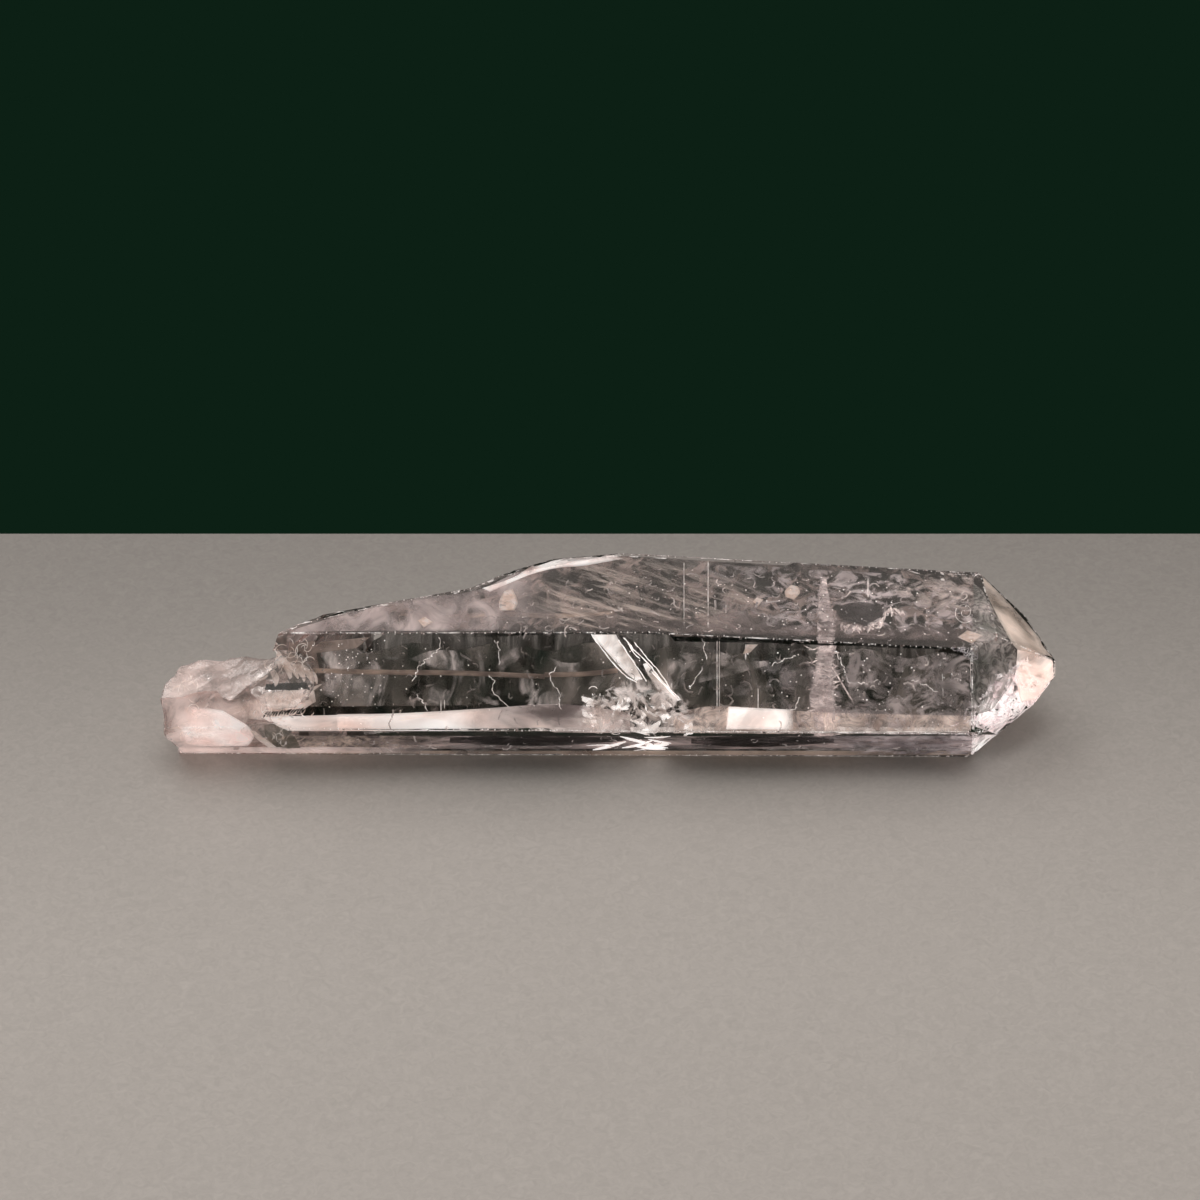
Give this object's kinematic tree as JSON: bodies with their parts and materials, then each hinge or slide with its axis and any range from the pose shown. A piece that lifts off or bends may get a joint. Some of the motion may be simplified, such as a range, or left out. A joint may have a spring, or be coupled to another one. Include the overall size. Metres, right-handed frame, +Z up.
{
  "type": "quartz crystal point",
  "caption": "Clear quartz point lying on a prism face, with a six-faced tip, a tapered back and a broken root end with a lower ledge.",
  "frame": {"origin": "centre of the footprint of the crystal's box, on the surface that it lies on", "axes": "+X along the crystal towards its tip, +Y towards its tapered back, +Z up"},
  "size_m": [0.0998, 0.0268, 0.0159],
  "materials": {
    "quartz": "clear natural quartz with a faint peach tint, inner fractures and veils"
  },
  "bodies": {
    "root": {"crystal": "quartz"}
  },
  "joints": []
}
